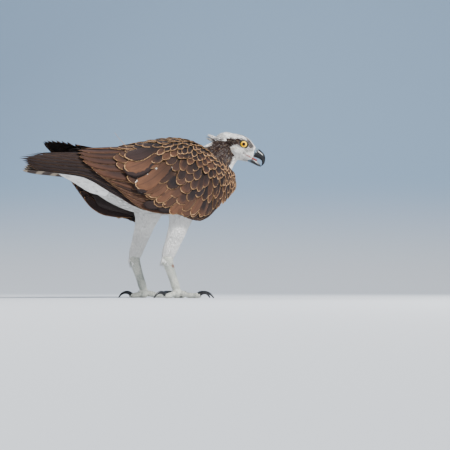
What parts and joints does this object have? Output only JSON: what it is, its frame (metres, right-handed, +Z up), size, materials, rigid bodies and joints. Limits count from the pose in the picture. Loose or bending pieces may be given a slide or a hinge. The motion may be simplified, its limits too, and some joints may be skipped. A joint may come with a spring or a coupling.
{
  "type": "osprey figure",
  "caption": "Life-size standing osprey, wings folded, head turned to its right with the hooked bill a little open; museum-style model.",
  "frame": {"origin": "on the floor, under the middle of the bird's box", "axes": "+X towards the breast and bill, +Y towards the bird's left wing, +Z up"},
  "size_m": [0.5626, 0.2494, 0.3361],
  "materials": {
    "body_down": "soft white body feathers",
    "head_feathers": "white feathers with a dark brown eye stripe",
    "wing_feathers": "dark brown feathers with pale buff edges",
    "tail_feathers": "brown feathers barred with buff",
    "leg_skin": "pale blue-grey scaled skin",
    "bill": "polished black horn with a blue-grey cere",
    "claw": "polished black horn",
    "eye": "glossy yellow iris with a black pupil"
  },
  "bodies": {
    "root": {"torso": "body_down", "neck": "body_down", "head": "head_feathers", "bill_upper": "bill", "bill_lower": "bill", "eye_left": "eye", "eye_right": "eye", "wing_left": "wing_feathers", "wing_right": "wing_feathers", "tail": "tail_feathers", "thigh_left": "body_down", "thigh_right": "body_down", "tarsus_left": "leg_skin", "tarsus_right": "leg_skin", "foot_left": "leg_skin", "foot_right": "leg_skin", "claw_inner_left": "claw", "claw_middle_left": "claw", "claw_outer_left": "claw", "claw_hind_left": "claw", "claw_inner_right": "claw", "claw_middle_right": "claw", "claw_outer_right": "claw", "claw_hind_right": "claw"}
  },
  "joints": []
}
